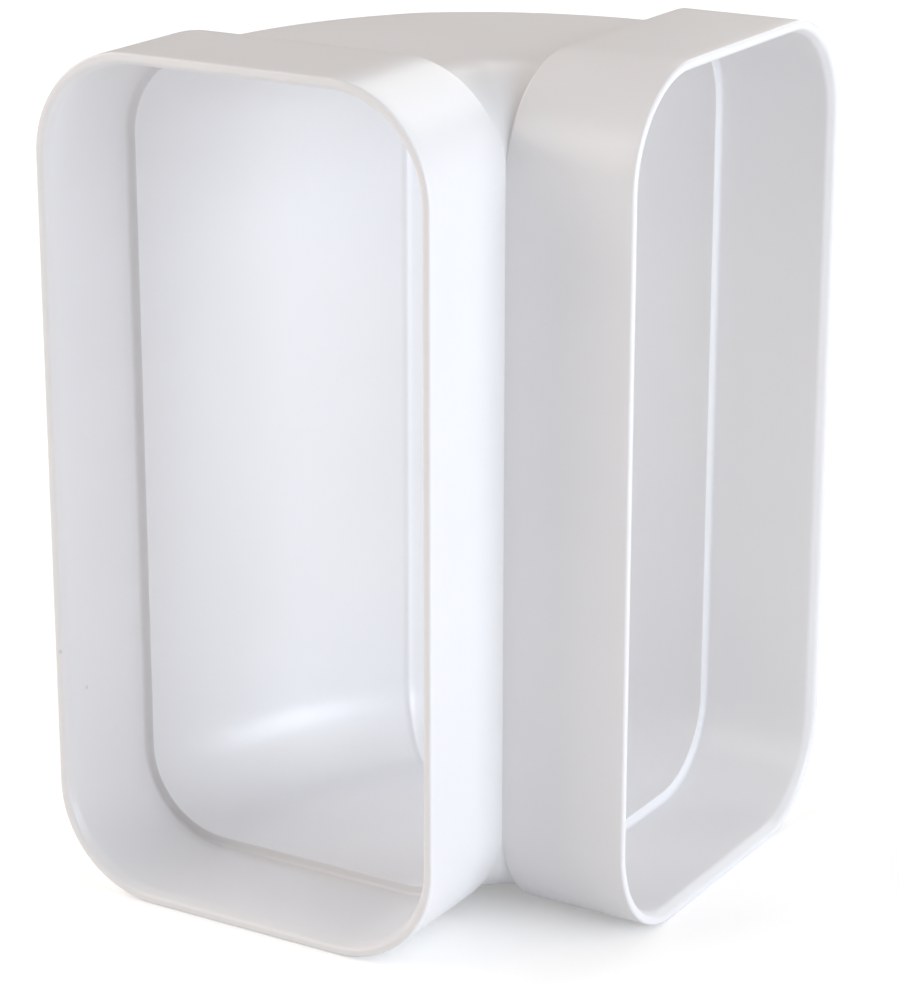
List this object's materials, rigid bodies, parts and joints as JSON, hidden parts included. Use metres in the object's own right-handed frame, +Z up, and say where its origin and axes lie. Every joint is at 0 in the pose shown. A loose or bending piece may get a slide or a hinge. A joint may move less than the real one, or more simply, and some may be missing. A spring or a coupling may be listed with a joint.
{
  "type": "flat duct elbow",
  "caption": "Moulded white right-angle elbow for flat rectangular ventilation duct, turning about the long side of its rounded section, with a socket at each end.",
  "frame": {"origin": "middle of the elbow's footprint, on the floor plane that the two collars stand on", "axes": "+Z up, along the bend's axis and the long side of the section; -Y out of the left socket; +X out of the right socket"},
  "size_m": [0.0756, 0.0756, 0.114],
  "materials": {
    "white_plastic": "satin-gloss moulded white ABS"
  },
  "bodies": {
    "root": {"duct_elbow": "white_plastic"}
  },
  "joints": []
}
